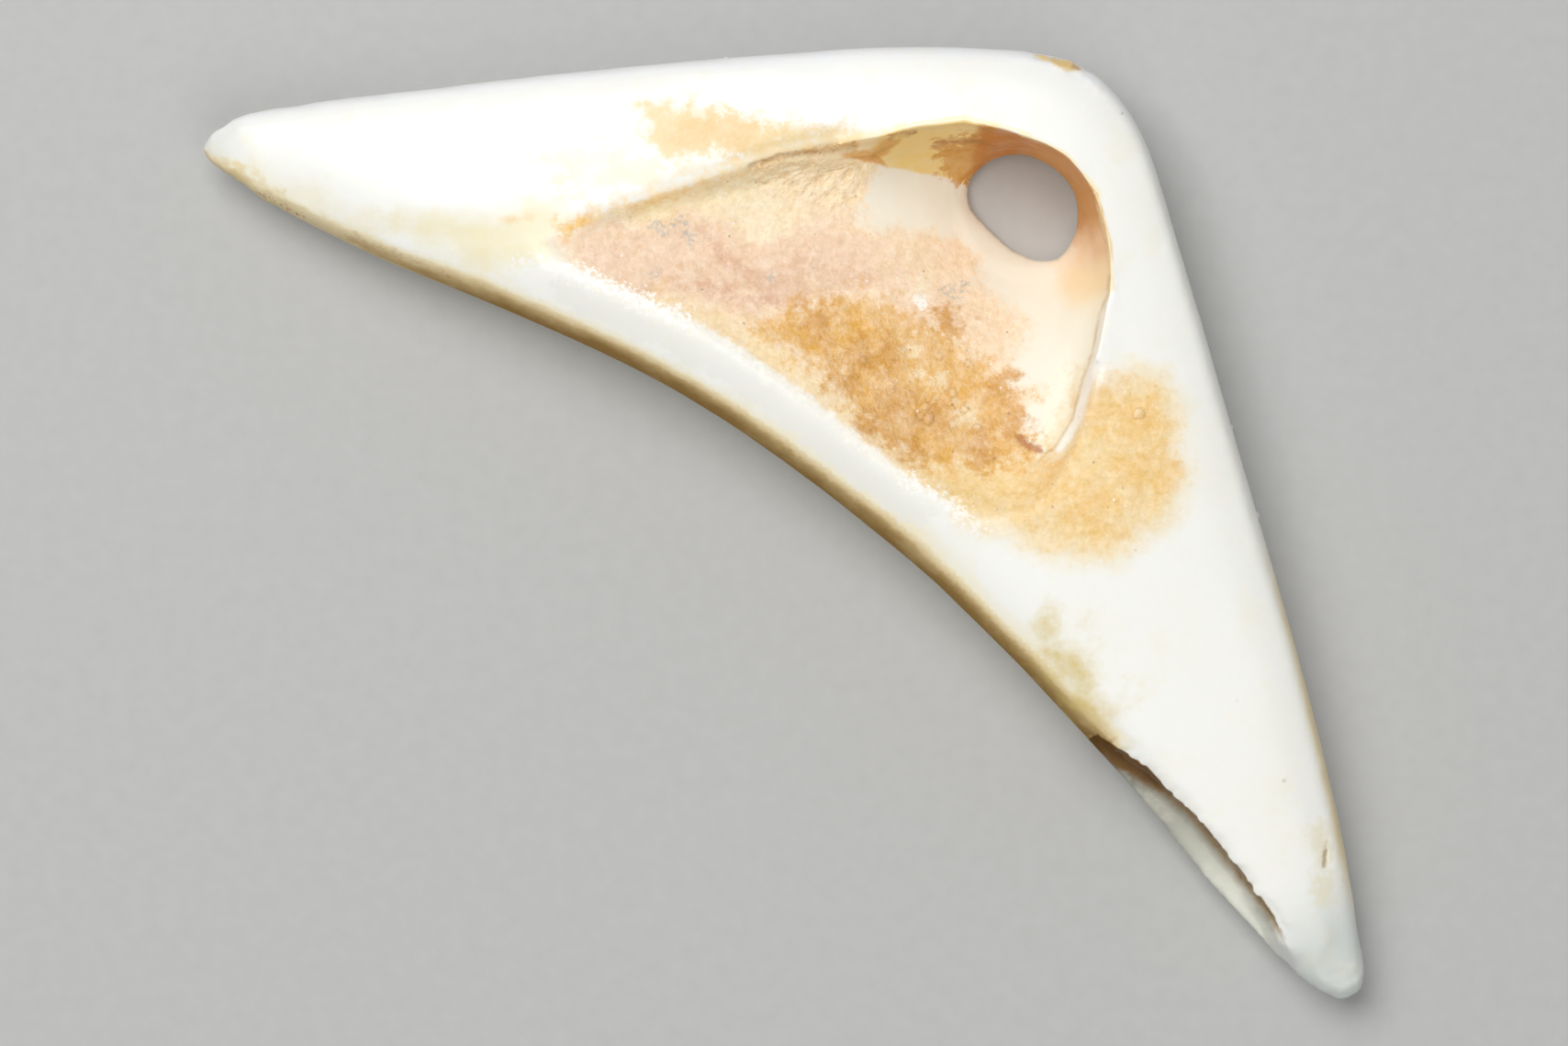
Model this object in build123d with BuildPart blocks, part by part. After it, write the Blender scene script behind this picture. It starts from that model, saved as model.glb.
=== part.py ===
from build123d import *
import os
from collections import namedtuple

# A pendant ground from one piece of thick white shell. Two wings meet at a rounded shoulder, and
# each tapers to a blunt tip. The domed face holds the natural hollow of the shell, a spoon that
# is shallow along the inner edge and steep below the shoulder, where a hole through the thin web
# takes the cord. The inner edge of the lower wing is open along a natural split between two
# layers of the shell. The back is ground flat, so the pendant lies level on it.
# X runs along the upper wing towards the shoulder, Y from the lower tip to the upper rim, and Z
# up out of the face. The origin is in the middle of the resting plane.

# Sizes of the whole, in millimetres
SPREAD = 75.9  # along X, from the tip of the upper wing to the outer edge of the lower one
RISE = 62.2  # along Y, from the lower tip to the upper rim
THICKNESS = 10.0  # along Z, from the resting flat to the top of the face at the shoulder
FACE_CROWN = 1.0  # height of the face's arch over a full-width section
BACK_CROWN = 0.6  # depth of the back's arch over a full-width section
BACK_GRIND = 0.32  # depth of back that is ground away to make the resting flat
FULL_WIDTH = 33.0  # width of the section that has the whole crown

# Rounding of the four long edges
FACE_OUTER_ROLL = 2.4
FACE_INNER_ROLL = 3.5
BACK_ROLL = 2.6
ROLL_GAP = 0.08  # share of a section's side or width left flat between two rolls
ARCH_SHARE = 0.2  # most that one crown takes of a section's thickness

# A place on the face, in shares of SPREAD and RISE from the lower left corner of the outline
Place = namedtuple("Place", "x y")

# The cord hole and the hollow round it
HOLE_CENTRE = Place(0.705, 0.829)
HOLE_REACH = 3.95  # from the hole's centre to its far corner
WEB = 1.2  # thickness of shell left where the hollow meets the hole

# The open split in the inner edge of the lower wing
SPLIT_START = Place(0.760, 0.279)  # its two ends, on the inner edge
SPLIT_END = Place(0.940, 0.036)
SPLIT_DEPTH = 3.5  # from the inner edge to the end of the undercut
SPLIT_CLEARANCE = 1.6  # how far the cutter stands outside the edge
SPLIT_SHELF_FALL = 0.4  # how far the back layer's top falls from the gap's end to the cutter's
SPLIT_TAPER = 0.35  # share of the gap's height that its floor and its roof each close inwards
SPLIT_TOP_SHARE = 1.2  # height to which the cutter opens the front layer, of THICKNESS

# Upright cross sections, from the upper wing's tip round the shoulder to the lower tip. Each
# stands on a line from the inner edge of the outline to the outer one. Places are shares of
# SPREAD and RISE from the lower left corner, thick and lift shares of THICKNESS.
Section = namedtuple("Section", "inner_x inner_y outer_x outer_y thick lift")
SECTIONS = [
    Section(0.000, 0.887, 0.000, 0.897, 0.08, 0.30),
    Section(0.008, 0.876, 0.009, 0.907, 0.19, 0.25),
    Section(0.022, 0.862, 0.024, 0.919, 0.30, 0.20),
    Section(0.053, 0.839, 0.057, 0.934, 0.44, 0.13),
    Section(0.112, 0.801, 0.122, 0.947, 0.62, 0.06),
    Section(0.205, 0.752, 0.233, 0.962, 0.79, 0.01),
    Section(0.315, 0.695, 0.363, 0.978, 0.91, 0.00),
    Section(0.418, 0.632, 0.489, 0.991, 0.97, 0.00),
    Section(0.501, 0.564, 0.604, 0.999, 1.00, 0.00),
    Section(0.560, 0.509, 0.700, 0.995, 1.00, 0.00),
    Section(0.596, 0.473, 0.753, 0.982, 1.00, 0.00),
    Section(0.628, 0.440, 0.799, 0.926, 1.00, 0.00),
    Section(0.659, 0.403, 0.823, 0.856, 1.00, 0.00),
    Section(0.695, 0.360, 0.852, 0.736, 0.99, 0.00),
    Section(0.746, 0.294, 0.888, 0.586, 0.95, 0.00),
    Section(0.802, 0.219, 0.926, 0.431, 0.87, 0.00),
    Section(0.853, 0.141, 0.959, 0.287, 0.76, 0.01),
    Section(0.894, 0.083, 0.982, 0.171, 0.62, 0.04),
    Section(0.928, 0.043, 0.994, 0.087, 0.46, 0.10),
    Section(0.953, 0.019, 0.999, 0.046, 0.33, 0.16),
    Section(0.971, 0.005, 1.000, 0.020, 0.20, 0.21),
    Section(0.979, 0.001, 0.997, 0.009, 0.11, 0.24),
]

# The hollow and the hole, in directions from the hole's centre, anticlockwise from X. hole is a
# share of HOLE_REACH, and lip_x and lip_y are shares of SPREAD and RISE. low, mid and high are
# shares of the way from the hole to the lip, where the surface has risen to the levels below.
Ray = namedtuple("Ray", "angle hole lip_x lip_y low mid high")
RAYS = [
    Ray(0, 0.93, 0.064, 0.000, 0.40, 0.62, 0.84),
    Ray(30, 0.88, 0.048, 0.033, 0.40, 0.62, 0.84),
    Ray(60, 0.84, 0.026, 0.057, 0.38, 0.60, 0.84),
    Ray(90, 0.88, 0.002, 0.073, 0.38, 0.60, 0.84),
    Ray(120, 0.93, -0.038, 0.085, 0.40, 0.62, 0.84),
    Ray(145, 0.97, -0.096, 0.083, 0.42, 0.66, 0.86),
    Ray(160, 0.96, -0.170, 0.067, 0.38, 0.68, 0.89),
    Ray(169, 0.93, -0.216, 0.048, 0.28, 0.60, 0.88),
    Ray(175, 0.89, -0.262, 0.030, 0.22, 0.53, 0.86),
    Ray(180, 0.84, -0.360, -0.006, 0.16, 0.38, 0.82),
    Ray(185, 0.78, -0.405, -0.036, 0.14, 0.34, 0.79),
    Ray(192, 0.73, -0.372, -0.070, 0.14, 0.35, 0.79),
    Ray(202, 0.67, -0.295, -0.113, 0.16, 0.38, 0.81),
    Ray(217, 0.63, -0.200, -0.181, 0.19, 0.43, 0.83),
    Ray(236, 0.63, -0.130, -0.244, 0.21, 0.46, 0.84),
    Ray(256, 0.68, -0.066, -0.300, 0.22, 0.47, 0.85),
    Ray(272, 0.77, -0.006, -0.312, 0.24, 0.50, 0.87),
    Ray(285, 0.86, 0.036, -0.262, 0.28, 0.56, 0.91),
    Ray(300, 0.98, 0.058, -0.170, 0.35, 0.64, 0.92),
    Ray(325, 1.00, 0.073, -0.080, 0.42, 0.68, 0.88),
]

# Heights of the levels, in shares of THICKNESS, from the hollow's floor to above the face
Levels = namedtuple("Levels", "low mid high lip above")
LEVELS = Levels(0.38, 0.60, 0.78, 0.92, 1.12)

# The split, from its upper end to its lower one. along is a share of its length, recess and
# reach are shares of SPLIT_DEPTH: how far the front layer's broken edge stands back, and how far
# the gap reaches under it. floor and roof are the gap's, in shares of THICKNESS.
Gap = namedtuple("Gap", "along recess reach floor roof")
GAPS = [
    Gap(0.00, 0.04, 0.16, 0.50, 0.60),
    Gap(0.12, 0.20, 0.66, 0.40, 0.66),
    Gap(0.26, 0.36, 1.00, 0.34, 0.64),
    Gap(0.44, 0.42, 0.96, 0.31, 0.58),
    Gap(0.65, 0.37, 0.76, 0.28, 0.50),
    Gap(0.84, 0.27, 0.52, 0.27, 0.43),
    Gap(1.00, 0.05, 0.14, 0.28, 0.36),
]


def point_at(share_x, share_y):
    """The point at these shares of the outline's box, on the resting plane."""
    return Vector(share_x * SPREAD - SPREAD / 2, share_y * RISE - RISE / 2, 0)


def upright(start, towards):
    """A vertical plane with its X along the direction given and its Y up."""
    across = towards.normalized()
    return Plane(origin=start, x_dir=across, z_dir=across.cross(Vector(0, 0, 1)))


def section_sketch(row):
    """One rounded, crowned cross section of the wings."""
    inner = point_at(row.inner_x, row.inner_y)
    outer = point_at(row.outer_x, row.outer_y)
    width = (outer - inner).length
    crown = min(1.0, width / FULL_WIDTH)
    low = row.lift * THICKNESS - BACK_GRIND
    top = low + row.thick * THICKNESS + BACK_GRIND
    arch = min(FACE_CROWN * crown, ARCH_SHARE * (top - low))
    belly = min(BACK_CROWN * crown, ARCH_SHARE * (top - low))
    side = top - arch - low - belly
    limit = (1 - ROLL_GAP) / 2 * min(side, width)
    with BuildSketch(upright(inner, outer - inner)) as sketch:
        with BuildLine():
            ThreePointArc((0, top - arch), (width / 2, top), (width, top - arch))
            Line((width, top - arch), (width, low + belly))
            ThreePointArc((width, low + belly), (width / 2, low), (0, low + belly))
            Line((0, low + belly), (0, top - arch))
        make_face()
        inner_corner = sketch.vertices().group_by(Axis.X)[0].sort_by(Axis.Y)[-1]
        fillet(inner_corner, min(FACE_INNER_ROLL, limit))
        outer_corner = sketch.vertices().group_by(Axis.X)[-1].sort_by(Axis.Y)[-1]
        fillet(outer_corner, min(FACE_OUTER_ROLL, limit))
        fillet(sketch.vertices().group_by(Axis.Y)[0], min(BACK_ROLL, limit))
    return sketch.sketch


def hollow_sketch(height, shares):
    """The hollow's outline at one height: each ray's share of the way from hole to lip."""
    centre = point_at(HOLE_CENTRE.x, HOLE_CENTRE.y)
    points = []
    for ray, share in zip(RAYS, shares):
        edge = centre + Vector(HOLE_REACH * ray.hole, 0, 0).rotate(Axis.Z, ray.angle)
        lip = centre + Vector(ray.lip_x * SPREAD, ray.lip_y * RISE, 0)
        point = edge + (lip - edge) * share
        points.append((point.X, point.Y))
    with BuildSketch(Plane.XY.offset(height)) as sketch:
        with BuildLine():
            Spline(points, periodic=True)
        make_face()
    return sketch.sketch


def split_sketch(row):
    """One section of the split: the front layer's recess with the gap reaching under it."""
    start = point_at(SPLIT_START.x, SPLIT_START.y)
    end = point_at(SPLIT_END.x, SPLIT_END.y)
    inward = (end - start).rotate(Axis.Z, 90)
    origin = start + (end - start) * row.along
    recess = row.recess * SPLIT_DEPTH
    reach = row.reach * SPLIT_DEPTH
    floor = row.floor * THICKNESS
    roof = row.roof * THICKNESS
    with BuildSketch(upright(origin, inward)) as sketch:
        with BuildLine():
            Polyline(
                (-SPLIT_CLEARANCE, floor - SPLIT_SHELF_FALL),
                (reach, floor + SPLIT_TAPER * (roof - floor)),
                (reach, roof - SPLIT_TAPER * (roof - floor)),
                (recess, roof),
                (recess, SPLIT_TOP_SHARE * THICKNESS),
                (-SPLIT_CLEARANCE, SPLIT_TOP_SHARE * THICKNESS),
                close=True,
            )
        make_face()
    return sketch.sketch


hole = [0.0 for ray in RAYS]
beyond = (LEVELS.above - LEVELS.lip) / (LEVELS.lip - LEVELS.high)
hollow = [
    (WEB, hole),
    (LEVELS.low * THICKNESS, [ray.low for ray in RAYS]),
    (LEVELS.mid * THICKNESS, [ray.mid for ray in RAYS]),
    (LEVELS.high * THICKNESS, [ray.high for ray in RAYS]),
    (LEVELS.lip * THICKNESS, [1.0 for ray in RAYS]),
    (LEVELS.above * THICKNESS, [1 + (1 - ray.high) * beyond for ray in RAYS]),
]

with BuildPart() as pendant:
    # The solid wings, ground flat at the back
    loft([section_sketch(row) for row in SECTIONS])
    split(bisect_by=Plane.XY, keep=Keep.TOP)

    # The hollow in the face
    loft([hollow_sketch(height, shares) for height, shares in hollow], mode=Mode.SUBTRACT)

    # The cord hole through the web
    extrude(hollow_sketch(0, hole), 2 * WEB, both=True, mode=Mode.SUBTRACT)

    # The split in the lower wing's inner edge
    loft([split_sketch(gap) for gap in GAPS], ruled=True, mode=Mode.SUBTRACT)

pendant.part.label = "shell_pendant"
os.makedirs("parts", exist_ok=True)
export_step(pendant.part, "parts/shell_pendant.step")
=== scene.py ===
from collections import namedtuple

import bmesh
import bpy
import numpy as np
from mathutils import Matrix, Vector, noise


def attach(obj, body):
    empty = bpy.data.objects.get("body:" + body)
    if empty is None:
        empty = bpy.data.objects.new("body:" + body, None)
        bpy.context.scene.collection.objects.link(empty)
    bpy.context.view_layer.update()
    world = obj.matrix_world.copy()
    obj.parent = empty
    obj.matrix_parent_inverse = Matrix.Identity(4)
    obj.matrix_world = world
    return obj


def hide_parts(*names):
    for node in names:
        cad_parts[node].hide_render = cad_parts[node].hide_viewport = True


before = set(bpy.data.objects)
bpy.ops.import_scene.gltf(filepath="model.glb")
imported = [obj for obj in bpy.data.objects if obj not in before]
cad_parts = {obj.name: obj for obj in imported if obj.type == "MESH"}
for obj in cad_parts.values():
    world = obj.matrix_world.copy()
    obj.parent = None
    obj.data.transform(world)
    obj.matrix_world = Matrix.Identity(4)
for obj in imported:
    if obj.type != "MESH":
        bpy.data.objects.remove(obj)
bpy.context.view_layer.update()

# The shell, one thick white piece ground to a bent form with two wings and polished by wear.
# A copy of the solid gets an even skin, is smoothed along its polished faces, and is made finer
# where the crust, the cracks and the broken edges are cut. Lengths are millimetres.
MM = 0.001
MERGE = 0.002  # corners of the solid's loose triangles this close are joined
SKIN = 0.54  # spacing of the even skin
ALL_OVER = 2  # rounds of smoothing for the whole skin
ROUNDED = 4  # further rounds, away from the hollow's lip and the split
LIP_KEPT, SPLIT_KEPT = 1.0, 1.5  # what those rounds leave alone on each side of them
POLISHED = 30  # further rounds for the broad face and the back
LIP_CLEAR, SPLIT_CLEAR = 1.3, 3.0  # what those rounds leave alone
LEVEL = 0.75  # least upward or downward part of the normal there
GROUND_FLAT = 0.3  # height up to which the back is ground flat
TIP_ROUNDS, TIP_REACH = 6, 2.0  # further rounds for the upper tip
FRONT = -0.2  # least upward part of the normal on the face, its edges and the hollow's walls
FINE_BORDER, FINEST_BORDER = 0.9, 0.45  # how far past the hollow and the crust the skin is finer

HOLLOW = [
    (4.3, 24.8), (7.4, 25.4), (11.7, 25.9), (14.9, 25.1), (18.1, 23.5), (20.1, 21.2), (20.9, 18.2),
    (21.1, 14.9), (20.4, 11.3), (19.1, 7.5), (17.6, 4.9), (16.3, 2.3), (14.2, 0.4), (11.8, 0.8),
    (8.8, 2.5), (5.2, 5.3), (1.6, 8.3), (-2.0, 10.9), (-5.6, 13.0), (-9.2, 14.6), (-12.8, 16.3),
    (-14.9, 17.2), (-15.4, 18.4), (-14.5, 19.4), (-12.2, 20.0), (-9.2, 20.8), (-5.6, 22.0),
    (-1.4, 23.2), (0.7, 24.2),
]
CRUST = [
    (-14.6, 18.4), (-13.4, 20.0), (-9.8, 20.9), (-5.1, 22.1), (-1.9, 23.3), (1.8, 24.3),
    (4.5, 24.5), (6.2, 23.4), (5.1, 21.8), (4.6, 20.2), (6.4, 19.1), (11.1, 18.8), (12.9, 17.6),
    (13.0, 15.1), (15.0, 14.1), (16.2, 12.6), (14.9, 10.9), (14.8, 9.3), (16.8, 8.6), (15.5, 7.0),
    (16.8, 4.7), (15.6, 2.8), (13.4, 0.8), (11.2, 1.0), (8.3, 2.4), (5.2, 4.8), (1.8, 7.8),
    (-2.0, 10.1), (-5.0, 12.4), (-9.2, 13.9), (-12.4, 15.2), (-13.9, 16.6),
]
HONEY_PATCH = [
    (7.9, 3.5), (11.5, 4.1), (16.6, 4.1), (18.2, 5.8), (20.1, 8.2), (21.9, 9.7), (24.3, 9.6),
    (25.6, 7.4), (25.3, 5.0), (25.9, 3.2), (24.9, 0.2), (21.2, -2.2), (16.9, -1.9), (14.1, -0.5),
    (12.2, -0.2), (11.2, 1.0),
]
LIP = HOLLOW[:9]  # the sharp part of the hollow's lip, above and beside the hole
STEP = [
    (21.1, 16.0), (21.0, 14.8), (20.5, 13.6), (20.0, 10.9), (19.4, 9.3), (18.7, 6.7), (17.6, 4.9),
    (17.0, 4.5),
]
SPLIT = [
    (20.4, -14.1), (21.7, -14.9), (23.2, -15.8), (24.5, -17.2), (26.8, -19.4), (29.5, -22.7),
    (31.9, -25.9), (32.4, -27.1),
]
SPLIT_END = (33.2, -27.7)
LIP_CRACK = [(-2.1, 23.1), (-0.8, 23.5), (1.0, 24.0), (2.5, 24.25), (4.6, 24.6)]
CHIP = [(16.8, 30.6), (18.2, 30.3), (19.4, 29.5)]
FLAKES = [
    (-37.0, 23.8), (-35.5, 23.2), (-33.2, 21.8), (-31.9, 20.2), (-33.2, 20.5), (-35.5, 22.0),
    (-36.8, 23.0),
]
PIT = [(35.35, -21.8)]
TIPS = [(-37.6, 24.6), (37.2, -30.4)]
SNAGS = [(-26.4, 28.2), (-3.8, 30.2), (29.1, 6.2), (30.9, 0.5)]  # grains proud of the outer edge
FINE_RUNS = [(SPLIT, 2.6), (CHIP, 2.4), (FLAKES, 1.6)]  # runs, and how far round them it is finer
FINE_SPOTS = [(PIT, 1.6), (TIPS, 2.6), (SNAGS, 1.0)]
FINEST_RUNS = [(STEP, 0.7), (LIP_CRACK, 0.7), (LIP, 0.6)]
FINEST_SPLIT, FINEST_SPOT = 1.0, 0.6
SPLIT_FOOT = 2.5  # height above which the split's edge is finest


def to_run(points, xy, closed=False):
    """Distance from each place in xy to a run of points."""
    start = np.array(points, float)
    end = np.roll(start, -1, axis=0)
    if not closed:
        start, end = (start[:-1], end[:-1]) if len(points) > 1 else (start, start)
    span = end - start
    length = np.maximum((span ** 2).sum(1), 1e-9)
    nearest = np.full(len(xy), 1e9)
    for one, along, square in zip(start, span, length):
        share = np.clip(((xy - one) @ along) / square, 0, 1)
        gap = np.hypot(*(xy - one - share[:, None] * along).T)
        nearest = np.minimum(nearest, gap)
    return nearest


def depth_in(outline, xy):
    """Distance from each place in xy to a closed outline, positive inside it."""
    inside = np.zeros(len(xy), bool)
    for (x0, y0), (x1, y1) in zip(outline, outline[1:] + outline[:1]):
        crosses = (y0 > xy[:, 1]) != (y1 > xy[:, 1])
        if y0 != y1:
            inside ^= crosses & (xy[:, 0] < x0 + (xy[:, 1] - y0) * (x1 - x0) / (y1 - y0))
    return np.where(inside, 1, -1) * to_run(outline, xy, closed=True)


def crust_in(xy):
    """Distance to the border of the whole crust, positive inside it."""
    return np.maximum(depth_in(CRUST, xy), depth_in(HONEY_PATCH, xy))


def ramp(values, low, high):
    """0 below low, 1 above high, and a smooth rise between."""
    share = np.clip((values - low) / (high - low), 0, 1)
    return share * share * (3 - 2 * share)


def places(bm):
    """Where the vertices are and which way they face, in millimetres."""
    bm.normal_update()
    at = np.array([v.co for v in bm.verts]) / MM
    facing = np.array([v.normal for v in bm.verts])
    return at, facing


def soften(bm, wanted, rounds):
    """Relaxes the wanted vertices."""
    verts = [v for v, take in zip(bm.verts, wanted) if take]
    for _ in range(rounds):
        bmesh.ops.smooth_vert(bm, verts=verts, factor=0.5, use_axis_x=True, use_axis_y=True,
                              use_axis_z=True)


def refine(bm, wanted):
    """Halves the spacing of the faces whose vertices are all wanted."""
    bm.verts.index_update()
    faces = [f for f in bm.faces if all(wanted[v.index] for v in f.verts)]
    edges = {e for f in faces for e in f.edges}
    bmesh.ops.subdivide_edges(bm, edges=list(edges), cuts=1, use_grid_fill=True)


blank = bmesh.new()
blank.from_mesh(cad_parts["shell_pendant"].data)
bmesh.ops.remove_doubles(blank, verts=blank.verts, dist=MERGE * MM)
rough_mesh = bpy.data.meshes.new("shell_rough")
blank.to_mesh(rough_mesh)
blank.free()
shell = bpy.data.objects.new("worked_shell", rough_mesh)
bpy.context.scene.collection.objects.link(shell)
even = shell.modifiers.new("even_skin", "REMESH")
even.mode = "VOXEL"
even.voxel_size = SKIN * MM
depsgraph = bpy.context.evaluated_depsgraph_get()
shell_mesh = bpy.data.meshes.new_from_object(shell.evaluated_get(depsgraph))
shell.modifiers.clear()
shell.data = shell_mesh
bpy.data.meshes.remove(rough_mesh)

skin = bmesh.new()
skin.from_mesh(shell_mesh)
soften(skin, np.ones(len(skin.verts), bool), ALL_OVER)
at, facing = places(skin)
xy = at[:, :2]
from_lip = np.abs(depth_in(HOLLOW, xy))
from_split = to_run(SPLIT, xy)
away = ((from_lip > LIP_KEPT) | (facing[:, 2] < 0)) & (from_split > SPLIT_KEPT)
soften(skin, away, ROUNDED)
broad = (np.abs(facing[:, 2]) > LEVEL) & (from_lip > LIP_CLEAR)
broad &= (from_split > SPLIT_CLEAR) & (at[:, 2] > GROUND_FLAT)
soften(skin, broad, POLISHED)
soften(skin, to_run([TIPS[0]], xy) < TIP_REACH, TIP_ROUNDS)

at, facing = places(skin)
xy = at[:, :2]
front = facing[:, 2] > FRONT
near = front & (depth_in(HOLLOW, xy) > -FINE_BORDER)
near |= front & (crust_in(xy) > -FINE_BORDER)
for points, reach in FINE_RUNS:
    near |= to_run(points, xy) < reach
for points, reach in FINE_SPOTS:
    for point in points:
        near |= to_run([point], xy) < reach
refine(skin, near)

at, facing = places(skin)
xy = at[:, :2]
front = facing[:, 2] > FRONT
close = front & (crust_in(xy) > -FINEST_BORDER)
for points, reach in FINEST_RUNS:
    close |= front & (to_run(points, xy) < reach)
close |= (to_run(SPLIT, xy) < FINEST_SPLIT) & (at[:, 2] > SPLIT_FOOT)
for point in SNAGS + PIT:
    close |= to_run([point], xy) < FINEST_SPOT
soften(skin, close, 2)
refine(skin, close)
at, facing = places(skin)
soften(skin, (facing[:, 2] > FRONT) & (crust_in(at[:, :2]) > -1.0), 2)

# The hollow's floor carries a mineral crust, knobbly where it is ochre and finer where it is
# pink, with a wrinkled patch under the upper lip. It is worked as moves along the surface.
OCHRE = [
    (-2.0, 12.6), (0.1, 13.6), (3.6, 14.7), (6.4, 14.6), (8.5, 13.0), (10.6, 13.6), (12.6, 10.8),
    (15.3, 8.7), (15.1, 6.8), (16.6, 4.4), (15.0, 3.8), (11.3, 3.6), (9.0, 3.6), (6.9, 5.1),
    (4.8, 6.8), (3.4, 9.0), (0.8, 10.9),
]
WRINKLES = [(-2.5, 23.0), (-0.2, 23.8), (2.8, 24.2), (6.1, 23.5), (5.4, 21.8), (3.7, 20.2),
            (1.6, 20.8), (-0.2, 21.8), (-1.9, 21.6)]
CREVICE = [(3.5, 23.9), (4.4, 24.15), (5.6, 24.2), (6.3, 24.75), (7.6, 24.9), (7.1, 24.35),
           (6.35, 23.85), (6.7, 23.3), (5.9, 23.5), (4.4, 23.75)]
NODULES = [  # x, y, radius
    (9.4, 6.8, 0.36), (8.9, 7.0, 0.24), (9.2, 7.6, 0.28), (11.0, 8.5, 0.30), (10.6, 8.8, 0.22),
    (10.1, 10.9, 0.26), (12.0, 10.4, 0.24), (5.2, 10.6, 0.24), (23.0, 7.1, 0.36), (7.0, 9.0, 0.26),
    (12.6, 6.2, 0.26), (11.8, 7.4, 0.22), (8.2, 8.4, 0.20),
]
TROUGH = [(-25.4, 19.7), (-22.0, 19.9), (-18.8, 20.1), (-14.7, 20.4), (-14.0, 19.0), (-14.6, 16.6),
          (-17.6, 16.7), (-22.6, 17.8), (-25.8, 18.9)]
SWELLS, CRUMBS, OCHRE_CRUMBS = 0.07, 0.006, 0.018  # heights in the crust
BIG_KNOBS, SMALL_KNOBS, WRINKLE_RISE = 0.10, 0.05, 0.13
KNOB_LEVEL = 0.35  # mean of the knobs' noise
NODULE_RISE = 0.45  # height of a nodule, in its radii
FURROW = 0.05  # depth of the line round a nodule
WAVES, RIPPLES = 0.05, 0.014  # heights of the slight unevenness of the whole shell


def lumps(at, size, octaves=3, shift=0.0):
    """Smooth noise of about -1 to 1, with lumps of the given size."""
    offset = Vector((shift, -shift, 2 * shift))
    return np.array([noise.fractal(Vector(p) / size + offset, 0.9, 2.1, octaves) for p in at])


def knobs(at, size, shift=0.0):
    """0 to 1, with a rounded knob in each cell of the given size."""
    offset = Vector((shift, -shift, 2 * shift))
    near = np.array([noise.voronoi(Vector(p) / size + offset)[0][0] for p in at])
    return np.clip(1 - (near / 0.55) ** 2, 0, 1)


def add(lift, weight, make):
    """Adds weight times make(places) to the lift, where the weight counts."""
    here = np.flatnonzero(np.abs(weight) > 1e-3)
    if len(here):
        lift[here] += weight[here] * make(at[here])


at, facing = places(skin)
xy = at[:, :2]
up = ramp(facing[:, 2], -0.05, 0.25)
resting = ramp(at[:, 2], 0.25, 1.2)
hollow_depth = depth_in(HOLLOW, xy)
crust_depth = crust_in(xy)
ochre_depth = depth_in(OCHRE, xy)
crusted = up * ramp(crust_depth, -0.3, 0.9)
ochre = up * ramp(ochre_depth, -0.5, 1.0)
wrinkled = up * ramp(depth_in(WRINKLES, xy), -0.3, 0.6)
crumble = np.zeros(len(at))
add(crumble, SWELLS * crusted, lambda p: lumps(p, size=1.9, octaves=2, shift=5.0))
add(crumble, CRUMBS * crusted + OCHRE_CRUMBS * ochre,
    lambda p: lumps(p, size=0.5, octaves=1, shift=7.0))
add(crumble, BIG_KNOBS * ochre, lambda p: knobs(p, size=1.3, shift=1.0) - KNOB_LEVEL)
add(crumble, SMALL_KNOBS * ochre, lambda p: knobs(p, size=0.55, shift=2.0) - KNOB_LEVEL)
slant = np.array([[0.96, 0.28, 0], [-0.28, 0.96, 0], [0, 0, 1]])
stretch = np.array([0.7, 1.3, 1.0])
add(crumble, WRINKLE_RISE * wrinkled, lambda p: 0.55 - 1.6 * np.abs(
    lumps((p @ slant.T) * stretch + 0.5 * lumps(p, size=1.2, octaves=2, shift=8.0)[:, None],
          size=0.9, octaves=3, shift=9.0)))
furrow = np.zeros(len(at))
uneven = 1 + 0.3 * lumps(at, size=0.5, octaves=1, shift=25.0)
for x, y, radius in NODULES:
    gap = np.hypot(at[:, 0] - x, at[:, 1] - y) / radius
    gap *= uneven
    crumble += up * NODULE_RISE * radius * np.sqrt(np.clip(1 - gap ** 2, 0, 1))
    furrow = np.maximum(furrow, up * (1 - ramp(np.abs(gap - 1.05), 0.0, 0.3)))
crumble -= FURROW * furrow
lift = crumble.copy()
add(lift, WAVES * resting, lambda p: lumps(p, size=8.0, octaves=2))
add(lift, RIPPLES * resting, lambda p: lumps(p, size=2.6, octaves=2, shift=3.0))

# Along the upper lip a crack opens into a small crevice, and a crisp step bounds the smooth
# floor on the right, where one layer of the shell ends.
CRACK_DEPTH, CREVICE_DEPTH, STEP_DROP, STEP_RIM = 0.30, 0.34, 0.14, 0.05
crack = to_run(LIP_CRACK, xy) + 0.10 * lumps(at, size=0.7, octaves=2, shift=11.0)
lift -= up * CRACK_DEPTH * (1 - ramp(crack, 0.03, 0.28))
crevice = up * ramp(depth_in(CREVICE, xy), -0.1, 0.4)
add(lift, -CREVICE_DEPTH * crevice,
    lambda p: 1 + 0.5 * lumps(p, size=0.5, octaves=3, shift=13.0))
step = to_run(STEP, xy)
floor_side = [(20.9, 19.0), *STEP, (14.5, 2.0), (4.0, 6.0), (8.0, 17.0)]
step_side = depth_in(floor_side, xy) + 0.05 * lumps(at, size=1.4, octaves=2, shift=15.0)
lift -= up * STEP_DROP * ramp(step_side, -0.15, 0.15) * (1 - ramp(step, 0.4, 2.2))
beside = 1 - ramp(np.abs(step_side + 0.3), 0.0, 0.4)
lift += up * STEP_RIM * beside * (1 - ramp(step, 0.4, 1.2))

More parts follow.
